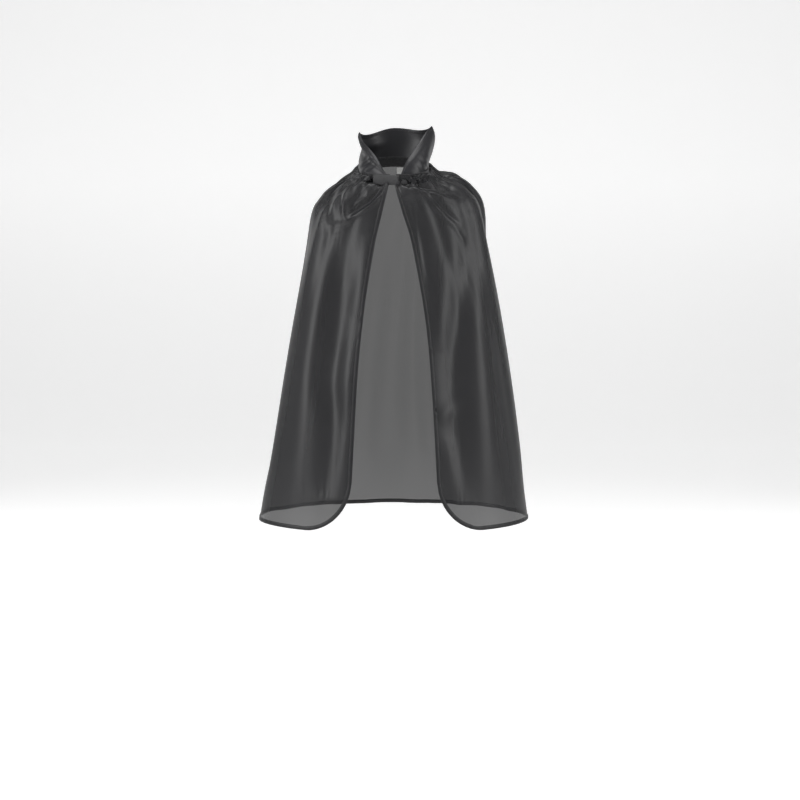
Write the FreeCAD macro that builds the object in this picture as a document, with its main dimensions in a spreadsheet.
import FreeCAD, Part
import os
import Sketcher

# Child's satin cape with a stand-up collar.  Millimetres and degrees.
#
# Row frame: the origin is the centre of the neckline ring, +Z is up and the wearer faces -Y,
# so the wearer's left is +X.  The neckline ring is tilted about X: its front is low.
# Pieces on the neckline are drawn in the ring's own frame (x, back, ring normal) and tilted as a whole.
# The cape is split at the centre back, where its two halves swing apart on the cape_open axis.

SIZES = {
    # neckline ring
    "neck_radius": 60.0,        # inside of the neck tape, around the back and the sides
    "front_radius": 138.0,      # flatter front, centred where the opening axis crosses the ring
    "front_centre": 78.0,       # distance from the ring's centre back to that point
    "corner_radius": 35.0,      # turn from the side to the front
    "ring_tilt": 20.0,
    "front_gap": 8.5,           # half the gap between the two neckline ends
    "back_gap": 0.15,           # half the clearance between the halves at the centre back
    "back_arc_start": 0.001,    # keeps the start of the back arc off the sketch's own axis
    # neck tape and the gathered header of the panel
    "tape_thickness": 0.8,
    "tape_foot": -10.0,
    "tape_width": 18.0,
    "header_start": 1.0,
    "header_end": 2.8,
    "header_width": 9.5,
    "web_end": 10.0,
    "web_width": 2.5,
    "seam_level": -0.5,         # top of the header, just under the collar
    "front_web_end": 13.0,
    "throat_half_width": 40.0,  # at the throat the panel starts below the tape, clear of the fastener
    "throat_back": 40.0,
    "throat_reach": 80.0,
    "throat_clearance": 0.6,
    "throat_rise": 60.0,
    # stand-up collar: three plies that flare outwards
    "collar_foot": 0.3,
    "collar_height": 80.0,
    "collar_flare": 13.0,
    "collar_front": 8.0,        # height of the plies at the front ends
    "collar_tip_back": 30.0,
    "collar_tip_height": 69.0,
    "collar_back_height": 78.0,
    "collar_back_reach": 95.0,
    "collar_trim_margin": 60.0, # how far the trimming outlines reach over the collar and under it
    "collar_trim_foot": -40.0,
    "inner_ply_start": 1.0,
    "inner_ply_end": 1.5,
    "stiffener_start": 1.6,
    "stiffener_end": 2.2,
    "outer_ply_start": 2.3,
    "outer_ply_end": 2.8,
    "stiffener_inset": 5.0,
    "thread_start": 2.9,
    "thread_end": 3.2,
    "thread_width": 0.5,
    "topstitch_inset": 4.0,
    "gather_level": -4.0,
    "gather_spacing": 4.0,
    "neck_stitch_level": -0.4,
    # hook-and-loop fastener
    "loop_start": 4.7,
    "loop_end": 5.3,
    "pile_end": 5.8,
    "strip_foot": -10.0,
    "strip_width": 18.0,
    "loop_far_end": 33.0,
    "hook_start": 7.0,
    "hook_end": 7.8,
    "hook_field_start": 6.3,
    "tab_reach": 37.0,
    "tab_root": 4.5,
    "hook_sewn_far_end": 26.0,
    "strip_stitch_inset": 2.0,
    # care label at the centre back
    "label_start": 0.4,
    "label_end": 0.8,
    "label_near": 3.0,
    "label_far": 29.0,
    "label_foot": -42.0,
    "label_drop": 29.0,
    # front opening of the panels
    "opening_top": 60.0,
    "throat_level": -30.0,
    "bend_half_width": 58.0,
    "bend_level": -331.0,
    "front_curve": 1500.0,
    "corner_start_half_width": 76.0,
    "hem_corner_radius": 90.0,
    "front_hem_level": -652.0,
    "below_hem": -720.0,
    "above_cape": 200.0,
    # hem turned on the front edges and the bottom edge
    "edge_hem_width": 7.0,
    "edge_hem_extra": 0.3,
    "hem_joint": 0.1,
    "hem_stitch_near": 5.0,
    "hem_stitch_far": 5.6,
    "hem_stitch_lift": 0.1,     # clearance between the hem and its stitches
    "hem_stitch_height": 0.4,
    "hem_slab_foot": -20.0,
    "cloth_thickness": 2.0,
}

# Cross-sections of the draped panel from the neckline to the hem:
# height at the sides, half width, half depth, setback of the centre, and tilt about X.
SECTIONS = {
    "collarbone": (-3.5, 71.0, 71.0, -0.9, 20.0),
    "yoke": (-9.0, 104.0, 74.0, 0.0, 20.0),
    "shoulder": (-31.0, 138.0, 79.0, 0.0, 16.0),
    "chest": (-68.0, 159.0, 82.0, 0.0, 10.0),
    "upper_arm": (-150.0, 170.0, 89.0, 1.5, 4.0),
    "waist": (-330.0, 201.0, 111.0, 2.0, 2.0),
    "hem": (-644.5, 247.0, 145.0, 5.0, 3.0),
}
SECTION_SIZES = ("level", "half_width", "half_depth", "setback", "tilt")

SIDES = {"left": 1, "right": -1}
LEAST_TRIM = 0.02               # share of a ply's volume that its trim must take away
SAME_POINT = 1e-4

doc = FreeCAD.newDocument("cape")
sheet = doc.addObject("Spreadsheet::Sheet", "Sizes")
kept = []


def fill_sheet():
    """One cell per driving size, named by its alias."""
    values = dict(SIZES)
    for section, numbers in SECTIONS.items():
        for size, number in zip(SECTION_SIZES, numbers):
            values[section + "_" + size] = number
    for row, (alias, number) in enumerate(values.items(), start=1):
        sheet.set("A%d" % row, alias)
        sheet.set("B%d" % row, "%g" % number)
        sheet.setAlias("B%d" % row, alias)
    doc.recompute()


def cell(alias):
    return "Sizes." + alias


def value(expression):
    return float(sheet.evalExpression(str(expression)))


def keep(piece, label):
    """Marks an object as a sub-part, written out under its label."""
    piece.Label = label
    kept.append(piece)
    return piece


def bind(piece, **expressions):
    for size, expression in expressions.items():
        piece.setExpression(size, str(expression))


def tilt_with_ring(piece, rise="0"):
    """Puts a piece drawn in the ring's frame on the tilted ring, raised along its normal."""
    piece.Placement.Rotation = FreeCAD.Rotation(FreeCAD.Vector(1, 0, 0), value(cell("ring_tilt")))
    piece.setExpression(".Placement.Rotation.Angle", cell("ring_tilt") + " * 1 deg")
    piece.setExpression(".Placement.Base.y", "-sin(%s * 1 deg) * (%s) * 1 mm" % (cell("ring_tilt"), rise))
    piece.setExpression(".Placement.Base.z", "cos(%s * 1 deg) * (%s) * 1 mm" % (cell("ring_tilt"), rise))


def draw(sketch, corners, bends=None):
    """Closed outline: corners as pairs of expressions, bends as {side: (radius, turn)}.

    Side n runs from corner n to the next one.  A bend makes it an arc of that radius,
    bulging to the left (turn 1) or the right (turn -1) of its own direction.
    """
    bends = bends or {}
    points = [FreeCAD.Vector(value(across), value(up), 0) for across, up in corners]
    following = points[1:] + points[:1]
    for side, (start, end) in enumerate(zip(points, following)):
        if side in bends:
            radius, turn = bends[side]
            chord = end - start
            outward = FreeCAD.Vector(-chord.y, chord.x, 0).normalize() * turn
            depth = (value(radius) ** 2 - chord.Length ** 2 / 4) ** 0.5
            crown = (start + end) / 2 + outward * (value(radius) - depth)
            sketch.addGeometry(Part.Arc(start, crown, end), False)
        else:
            sketch.addGeometry(Part.LineSegment(start, end), False)
    starts = [start_vertex(sketch, side, points[side]) for side in range(len(points))]
    for side in range(len(points)):
        after = (side + 1) % len(points)
        end_of_side = 3 - starts[side]
        sketch.addConstraint(Sketcher.Constraint("Coincident", side, end_of_side, after, starts[after]))
    for side, (across, up) in enumerate(corners):
        fix_coordinate(sketch, "DistanceX", side, starts[side], points[side].x, across)
        fix_coordinate(sketch, "DistanceY", side, starts[side], points[side].y, up)
    for side, (radius, turn) in bends.items():
        number = sketch.addConstraint(Sketcher.Constraint("Radius", side, value(radius)))
        sketch.setExpression("Constraints[%d]" % number, radius)


def start_vertex(sketch, side, point):
    """1 or 2: an arc may be stored against the direction it was drawn in."""
    stored = sketch.getPoint(side, 1)
    return 1 if (stored - point).Length < SAME_POINT else 2


def fix_coordinate(sketch, kind, side, vertex, distance, expression):
    number = sketch.addConstraint(Sketcher.Constraint(kind, -1, 1, side, vertex, distance))
    sketch.setExpression("Constraints[%d]" % number, str(expression))


def body_sketch(body, plane, name, corners, bends=None, lift=None):
    """Sketch on one of the body's own origin planes, lifted along its normal."""
    sketch = body.newObject("Sketcher::SketchObject", name)
    origin_plane = [feature for feature in body.Origin.OriginFeatures if feature.Role == plane][0]
    sketch.AttachmentSupport = [(origin_plane, "")]
    sketch.MapMode = "FlatFace"
    if lift is not None:
        sketch.setExpression(".AttachmentOffset.Base.z", "(%s) * 1 mm" % lift)
    draw(sketch, corners, bends)
    return sketch


def free_sketch(name, corners, bends=None):
    """Sketch in the XZ plane, seen from the front."""
    sketch = doc.addObject("Sketcher::SketchObject", name)
    sketch.Placement = FreeCAD.Placement(FreeCAD.Vector(), FreeCAD.Rotation(FreeCAD.Vector(1, 0, 0), 90))
    draw(sketch, corners, bends)
    return sketch


# ---- neckline outlines, in the ring's frame --------------------------------------------------

CORNER_ACROSS = "(Sizes.neck_radius - Sizes.corner_radius)"
CORNER_REACH = "(Sizes.front_radius - Sizes.corner_radius)"
CORNER_DROP = "sqrt(%s ^ 2 - %s ^ 2)" % (CORNER_REACH, CORNER_ACROSS)
CORNER_BACK = "(Sizes.front_centre - %s)" % CORNER_DROP


def front_point(offset, across):
    """Point of the flat front arc, offset outwards, at a distance across from the middle."""
    reach = "(Sizes.front_radius + %s)" % offset
    return across, "Sizes.front_centre - sqrt(%s ^ 2 - (%s) ^ 2)" % (reach, across)


def neckline_path(offset, side):
    """Corners and radii of one half of the neckline, from the front end to the centre back."""
    reach = "(Sizes.front_radius + %s)" % offset
    turn_across = "%s * %s / %s" % (CORNER_ACROSS, reach, CORNER_REACH)
    turn_back = "Sizes.front_centre - %s * %s / %s" % (CORNER_DROP, reach, CORNER_REACH)
    wide = "(Sizes.neck_radius + %s)" % offset
    corners = [
        front_point(offset, cell("front_gap")),
        (turn_across, turn_back),
        (wide, CORNER_BACK),
        (wide, cell("back_arc_start")),
        (cell("back_gap"), "sqrt(%s ^ 2 - Sizes.back_gap ^ 2)" % wide),
    ]
    mirrored = [("%d * (%s)" % (side, across), back) for across, back in corners]
    radii = [reach, "(Sizes.corner_radius + %s)" % offset, None, wide]
    return mirrored, radii


def neckline_band(start, end, side):
    """Closed outline of half a neckline band between two offsets from the neck radius."""
    inner, inner_radii = neckline_path(start, side)
    outer, outer_radii = neckline_path(end, side)
    corners = inner + outer[::-1]
    bends = {}
    for number, radius in enumerate(inner_radii):
        if radius:
            bends[number] = (radius, -side)
    for number, radius in enumerate(reversed(outer_radii)):
        if radius:
            bends[number + len(inner)] = (radius, side)
    return corners, bends


def front_strip(start, end, near, far):
    """Closed outline of a strip along the flat front, from near to far across."""
    corners = [
        front_point(start, near),
        front_point(start, far),
        front_point(end, far),
        front_point(end, near),
    ]
    turn = 1 if value(far) < value(near) else -1
    bends = {
        0: ("(Sizes.front_radius + %s)" % start, turn),
        2: ("(Sizes.front_radius + %s)" % end, -turn),
    }
    return corners, bends


def padded_band(label, outline, width, rise):
    """Flat outline in the ring's plane, padded along the ring's normal."""
    corners, bends = outline
    body = doc.addObject("PartDesign::Body", label)
    sketch = body_sketch(body, "XY_Plane", label + "_outline", corners, bends)
    pad = body.newObject("PartDesign::Pad", label + "_pad")
    pad.Profile = sketch
    bind(pad, Length=width)
    tilt_with_ring(body, rise)
    return keep(body, label)


# ---- neck tape, header and threads -----------------------------------------------------------


def neck_tape(name, side):
    outline = neckline_band("0", cell("tape_thickness"), side)
    padded_band("neck_tape_" + name, outline, cell("tape_width"), cell("tape_foot"))


def neck_stitching(name, side):
    """Row of stitches that closes the neckline seam."""
    outline = neckline_band(cell("thread_start"), cell("thread_end"), side)
    padded_band("neck_stitching_" + name, outline, cell("thread_width"), cell("neck_stitch_level"))


def gather_threads(name, side):
    """Two running threads that pull the panel's top edge into gathers, one under the other."""
    for row in (1, 2):
        outline = neckline_band(cell("thread_start"), cell("thread_end"), side)
        rise = "(Sizes.gather_level - (%d - 1) * Sizes.gather_spacing)" % row
        padded_band("gather_thread_%d_%s" % (row, name), outline, cell("thread_width"), rise)


# ---- collar ----------------------------------------------------------------------------------


def collar_edge_region(inset, above):
    """Side-view outline of everything above (or below) the collar's edge line, moved in by inset."""
    far = "Sizes.collar_back_reach"
    shift = "(%s)" % inset
    limit = "(Sizes.collar_height + Sizes.collar_trim_margin)" if above else cell("collar_trim_foot")
    return [
        ("-" + far, "Sizes.collar_front - %s" % shift),
        ("-Sizes.neck_radius + %s" % shift, "Sizes.collar_front - %s" % shift),
        ("Sizes.collar_tip_back + %s" % shift, "Sizes.collar_tip_height - %s" % shift),
        (far, "Sizes.collar_back_height - %s" % shift),
        (far, limit),
        ("-" + far, limit),
    ]


def trim_collar(body, label, number, inset, above):
    """Cuts away what lies beyond the collar's edge line."""
    before = body.Shape.Volume
    region = collar_edge_region(inset, above)
    sketch = body_sketch(body, "YZ_Plane", "%s_edge_%d" % (label, number), region)
    pocket = body.newObject("PartDesign::Pocket", "%s_trim_%d" % (label, number))
    pocket.Profile = sketch
    pocket.Type = "ThroughAll"
    pocket.SideType = "Symmetric"
    doc.recompute()
    if before - body.Shape.Volume < LEAST_TRIM * before:
        raise RuntimeError(label + ": the collar trim cuts nothing")


def collar_ply(label, start, end, side, inset, strip=None):
    """Flared shell between two offsets, trimmed to the collar's outline.

    With a strip width the ply is only a line of that width along the edge.
    """
    body = doc.addObject("PartDesign::Body", label)
    foot_corners, foot_bends = neckline_band(start, end, side)
    flare_start = "(%s + Sizes.collar_flare)" % start
    flare_end = "(%s + Sizes.collar_flare)" % end
    top_corners, top_bends = neckline_band(flare_start, flare_end, side)
    foot = body_sketch(body, "XY_Plane", label + "_foot", foot_corners, foot_bends)
    top = body_sketch(body, "XY_Plane", label + "_top", top_corners, top_bends, cell("collar_height"))
    loft = body.newObject("PartDesign::AdditiveLoft", label + "_loft")
    loft.Profile = foot
    loft.Sections = [top]
    loft.Ruled = True
    tilt_with_ring(body, cell("collar_foot"))
    doc.recompute()
    trim_collar(body, label, 1, inset, True)
    if strip:
        trim_collar(body, label, 2, "(%s + %s)" % (inset, strip), False)
    return keep(body, label)


def collar(name, side):
    plies = {
        "collar_inner_": ("inner_ply_start", "inner_ply_end", "0", None),
        "collar_stiffener_": ("stiffener_start", "stiffener_end", cell("stiffener_inset"), None),
        "collar_outer_": ("outer_ply_start", "outer_ply_end", "0", None),
        "collar_topstitch_": ("thread_start", "thread_end", cell("topstitch_inset"), cell("thread_width")),
    }
    for label, (start, end, inset, strip) in plies.items():
        collar_ply(label + name, cell(start), cell(end), side, inset, strip)


# ---- hook-and-loop fastener ------------------------------------------------------------------


def fastener_strip(label, start, end, near, far, width=None, rise=None):
    outline = front_strip(cell(start), cell(end), near, far)
    width = width or cell("strip_width")
    rise = rise or cell("strip_foot")
    return padded_band(label, outline, width, rise)


def fastener_field(label, start, end, far):
    """Working face of a strip, inside the strip's edges; it starts beside the neckline end."""
    near = "-(Sizes.front_gap + Sizes.strip_stitch_inset)"
    far = "-(%s - Sizes.strip_stitch_inset)" % far
    width = "(Sizes.strip_width - 2 * Sizes.strip_stitch_inset)"
    rise = "(Sizes.strip_foot + Sizes.strip_stitch_inset)"
    fastener_strip(label, start, end, near, far, width, rise)


def fastener():
    """Loop strip on the right neckline end, hook strip sewn to the left end and its free tab."""
    gap = cell("front_gap")
    loop_far = cell("loop_far_end")
    sewn_far = cell("hook_sewn_far_end")
    tab_far = cell("tab_reach")
    fastener_strip("loop_tape", "loop_start", "loop_end", "-" + gap, "-" + loop_far)
    fastener_field("loop_pile", "loop_end", "pile_end", loop_far)
    fastener_strip("hook_tape_sewn_end", "loop_start", "loop_end", gap, sewn_far)
    fastener_strip("hook_tape_tab", "hook_start", "hook_end", cell("tab_root"), "-" + tab_far)
    fastener_field("hook_field", "hook_field_start", "hook_start", tab_far)
    sewn_row("loop_tape_stitching", "-" + gap, "-" + loop_far)
    sewn_row("hook_tape_stitching", gap, sewn_far)


def sewn_row(label, near, far):
    """Row of stitches along the foot of a sewn strip."""
    outline = front_strip(cell("loop_end"), cell("pile_end"), near, far)
    rise = "(%s + %s / 2)" % (cell("strip_foot"), cell("strip_stitch_inset"))
    padded_band(label, outline, cell("thread_width"), rise)


def care_label():
    """Blank fold of ribbon that hangs inside, beside the centre back, below the neckline seam."""
    near = cell("label_near")
    far = cell("label_far")
    inner = "(Sizes.neck_radius + Sizes.label_start)"
    outer = "(Sizes.neck_radius + Sizes.label_end)"
    corners = [(near, inner), (far, inner), (far, outer), (near, outer)]
    padded_band("care_label", (corners, {}), cell("label_drop"), cell("label_foot"))


# ---- draped panels ---------------------------------------------------------------------------


def drape_solid(label, inset):
    """Solid that fills the draped cape, every section drawn in by inset."""
    rings = []
    for section in SECTIONS:
        ring = doc.addObject("Part::Ellipse", "%s_%s" % (label, section))
        size = "Sizes.%s_" % section
        bind(
            ring,
            MajorRadius="%shalf_width - (%s)" % (size, inset),
            MinorRadius="%shalf_depth - (%s)" % (size, inset),
        )
        ring.Placement.Rotation = FreeCAD.Rotation(FreeCAD.Vector(1, 0, 0), value(size + "tilt"))
        ring.setExpression(".Placement.Rotation.Angle", size + "tilt * 1 deg")
        ring.setExpression(".Placement.Base.y", size + "setback * 1 mm")
        ring.setExpression(".Placement.Base.z", size + "level * 1 mm")
        rings.append(ring)
    loft = doc.addObject("Part::Loft", label)
    loft.Sections = rings
    loft.Solid = True
    loft.Ruled = True
    return loft


def combine(kind, label, base, tool):
    result = doc.addObject(kind, label)
    result.Base = base
    result.Tool = tool
    return result


def cloth_shell(label, outset, inset):
    """Layer of cloth between the drape drawn out by outset and drawn in by inset."""
    outer = drape_solid(label + "_outside", "-(%s)" % outset)
    inner = drape_solid(label + "_inside", inset)
    return combine("Part::Cut", label, outer, inner)


def opening_solid(label, margin):
    """Solid of the front opening between the two front edges, grown by margin."""
    grow = "(%s)" % margin
    throat = "(Sizes.front_gap + %s)" % grow
    bend = "(Sizes.bend_half_width + %s)" % grow
    low = "(Sizes.corner_start_half_width + %s)" % grow
    corner_level = "(Sizes.front_hem_level + Sizes.hem_corner_radius)"
    corner_foot = "(Sizes.corner_start_half_width + Sizes.hem_corner_radius)"
    radius = "(Sizes.hem_corner_radius - %s)" % grow
    hem_level = "(Sizes.front_hem_level + %s)" % grow
    half = [
        (throat, cell("opening_top")),
        (throat, cell("throat_level")),
        (bend, cell("bend_level")),
        (low, corner_level),
        (corner_foot, hem_level),
        (corner_foot, cell("below_hem")),
    ]
    mirrored = [("-" + across, up) for across, up in reversed(half)]
    bends = {
        1: (cell("front_curve"), 1),
        3: (radius, -1),
        7: (radius, -1),
        9: (cell("front_curve"), 1),
    }
    sketch = free_sketch(label + "_outline", half + mirrored, bends)
    solid = doc.addObject("Part::Extrusion", label)
    solid.Base = sketch
    solid.DirMode = "Normal"
    solid.Solid = True
    bind(solid, LengthFwd="2 * Sizes.hem_half_depth * 1 mm")
    return solid


def hem_slab(label, rise_start, rise_end):
    """Slab parallel to the bottom edge, between two heights above it."""
    slab = doc.addObject("Part::Box", label)
    bind(
        slab,
        Length="4 * Sizes.hem_half_width",
        Width="4 * Sizes.hem_half_depth",
        Height="(%s) - (%s)" % (rise_end, rise_start),
    )
    tilt = "Sizes.hem_tilt * 1 deg"
    slab.Placement.Rotation = FreeCAD.Rotation(FreeCAD.Vector(1, 0, 0), value("Sizes.hem_tilt"))
    slab.setExpression(".Placement.Rotation.Angle", tilt)
    slab.setExpression(".Placement.Base.x", "-2 * Sizes.hem_half_width * 1 mm")
    reach = "2 * Sizes.hem_half_depth"
    back = "Sizes.hem_setback - %s * cos(%s) - (%s) * sin(%s)" % (reach, tilt, rise_start, tilt)
    up = "Sizes.hem_level - %s * sin(%s) + (%s) * cos(%s)" % (reach, tilt, rise_start, tilt)
    slab.setExpression(".Placement.Base.y", "(%s) * 1 mm" % back)
    slab.setExpression(".Placement.Base.z", "(%s) * 1 mm" % up)
    return slab


def half_space(label):
    """Block over the wearer's right half, clear of the other half."""
    block = doc.addObject("Part::Box", label)
    bind(
        block,
        Length="2 * Sizes.hem_half_width",
        Width="4 * Sizes.hem_half_depth",
        Height="Sizes.above_cape - Sizes.below_hem",
    )
    block.setExpression(".Placement.Base.x", "-(Sizes.back_gap + 2 * Sizes.hem_half_width) * 1 mm")
    block.setExpression(".Placement.Base.y", "-2 * Sizes.hem_half_depth * 1 mm")
    block.setExpression(".Placement.Base.z", "Sizes.below_hem * 1 mm")
    return block


def ring_extrusion(label, start, end, width, rise):
    """Right half of a neckline band as a plain extrusion, to be fused with the panel."""
    corners, bends = neckline_band(start, end, SIDES["right"])
    sketch = doc.addObject("Sketcher::SketchObject", label + "_outline")
    draw(sketch, corners, bends)
    tilt_with_ring(sketch, rise)
    band = doc.addObject("Part::Extrusion", label)
    band.Base = sketch
    band.DirMode = "Normal"
    band.Solid = True
    bind(band, LengthFwd=width + " * 1 mm")
    return band


def throat_block(label, foot, top):
    """Block in the ring's frame over the flat front of the neckline, between two levels."""
    block = doc.addObject("Part::Box", label)
    bind(
        block,
        Length="2 * Sizes.throat_half_width",
        Width=cell("throat_reach"),
        Height="(%s) - (%s)" % (top, foot),
    )
    tilt = "Sizes.ring_tilt * 1 deg"
    front = "(Sizes.throat_back + Sizes.throat_reach)"
    back = "-%s * cos(%s) - (%s) * sin(%s)" % (front, tilt, foot, tilt)
    up = "-%s * sin(%s) + (%s) * cos(%s)" % (front, tilt, foot, tilt)
    block.Placement.Rotation = FreeCAD.Rotation(FreeCAD.Vector(1, 0, 0), value(cell("ring_tilt")))
    block.setExpression(".Placement.Rotation.Angle", tilt)
    block.setExpression(".Placement.Base.x", "-Sizes.throat_half_width * 1 mm")
    block.setExpression(".Placement.Base.y", "(%s) * 1 mm" % back)
    block.setExpression(".Placement.Base.z", "(%s) * 1 mm" % up)
    return block


def mirrored_pair(label, right_piece):
    """The right piece and its mirror image across the centre plane."""
    left_piece = doc.addObject("Part::Mirroring", label + "_left")
    left_piece.Source = right_piece
    left_piece.Base = FreeCAD.Vector(0, 0, 0)
    left_piece.Normal = FreeCAD.Vector(1, 0, 0)
    keep(right_piece, label + "_right")
    keep(left_piece, label + "_left")


def panel_cloth():
    """Cloth of both panels, clear of the hem."""
    clear_of_hem = "(Sizes.edge_hem_width + Sizes.hem_joint)"
    shell = cloth_shell("cloth", "0", cell("cloth_thickness"))
    opening = opening_solid("front_opening_to_panel", clear_of_hem)
    band = hem_slab("hem_band_and_joint", cell("hem_slab_foot"), clear_of_hem)
    trimmed = combine("Part::Cut", "cloth_without_opening", shell, opening)
    return combine("Part::Cut", "cloth_without_hem", trimmed, band)


def hem_cloth():
    """Turned hem along the front edges, the corners and the foot, a little thicker than the cloth."""
    width = cell("edge_hem_width")
    extra = cell("edge_hem_extra")
    thick = cloth_shell("hem_cloth", extra, "(Sizes.cloth_thickness + %s)" % extra)
    opening = opening_solid("front_opening", "0")
    wide_opening = opening_solid("front_opening_to_hem", width)
    band = hem_slab("hem_band", cell("hem_slab_foot"), width)
    region = combine("Part::Fuse", "hem_region", wide_opening, band)
    thick_edges = combine("Part::Common", "hem_with_corner", thick, region)
    return combine("Part::Cut", "hem_of_edges", thick_edges, opening)


def hem_stitch_line():
    """Line of stitches on the outer face of the hem."""
    foot = "-(Sizes.edge_hem_extra + Sizes.hem_stitch_lift)"
    top = "(Sizes.edge_hem_extra + Sizes.hem_stitch_height)"
    layer = cloth_shell("stitch_cloth", top, foot)
    sides = {}
    for edge in ("near", "far"):
        inset = cell("hem_stitch_" + edge)
        opening = opening_solid("stitch_%s_opening" % edge, inset)
        slab = hem_slab("stitch_%s_slab" % edge, cell("hem_slab_foot"), inset)
        sides[edge] = combine("Part::Fuse", "stitch_%s_side" % edge, opening, slab)
    up_to_far = combine("Part::Common", "stitch_up_to_far", layer, sides["far"])
    return combine("Part::Cut", "stitch_line", up_to_far, sides["near"])


def gathered_header(above_throat):
    """Right half of the panel's gathered header and of the webs that join it to the cloth."""
    start = cell("header_start")
    width = cell("web_width")
    foot = "(Sizes.tape_foot - Sizes.web_width)"
    web_foot = "(Sizes.seam_level - Sizes.web_width)"
    header = ring_extrusion("header", start, cell("header_end"), "(Sizes.seam_level - %s)" % foot, foot)
    web = ring_extrusion("web", start, cell("web_end"), width, web_foot)
    front_width = "(Sizes.web_width - Sizes.throat_clearance)"
    front_web = ring_extrusion("front_web", start, cell("front_web_end"), front_width, foot)
    side_web = combine("Part::Cut", "side_web", web, above_throat)
    below_throat = throat_block("below_throat", "-Sizes.throat_rise", cell("throat_rise"))
    throat_web = combine("Part::Common", "throat_web", front_web, below_throat)
    webs = combine("Part::Fuse", "webs", side_web, throat_web)
    return combine("Part::Fuse", "gathered", header, webs)


def panels():
    """Panel, turned edge hem and hem stitching of each half."""
    half = half_space("right_half_space")
    level = "(Sizes.tape_foot - Sizes.throat_clearance)"
    above_throat = throat_block("above_throat", level, cell("throat_rise"))
    halves = {}
    for label, cloth in (("panel", panel_cloth()), ("hem", hem_cloth()), ("stitches", hem_stitch_line())):
        right_half = combine("Part::Common", label + "_half", cloth, half)
        halves[label] = combine("Part::Cut", label + "_below_throat", right_half, above_throat)
    panel = combine("Part::Fuse", "cape_panel_right", halves["panel"], gathered_header(above_throat))
    mirrored_pair("cape_panel", panel)
    mirrored_pair("edge_hem", halves["hem"])
    mirrored_pair("hem_stitching", halves["stitches"])


def write_parts():
    doc.recompute()
    for piece in doc.Objects:
        if {"Invalid", "Error"} & set(piece.State):
            raise RuntimeError("%s failed: %s" % (piece.Label, piece.State))
    os.makedirs("parts", exist_ok=True)
    for piece in kept:
        shape = piece.Shape
        if shape.isNull() or not shape.isValid():
            raise RuntimeError(piece.Label + " has no valid shape")
        print("%-22s solids %d  volume %9.1f" % (piece.Label, len(shape.Solids), shape.Volume))
    for piece in kept:
        piece.Shape.exportStep(os.path.join("parts", piece.Label + ".step"))


fill_sheet()
for name, side in SIDES.items():
    neck_tape(name, side)
    neck_stitching(name, side)
    gather_threads(name, side)
    collar(name, side)
fastener()
care_label()
panels()
write_parts()
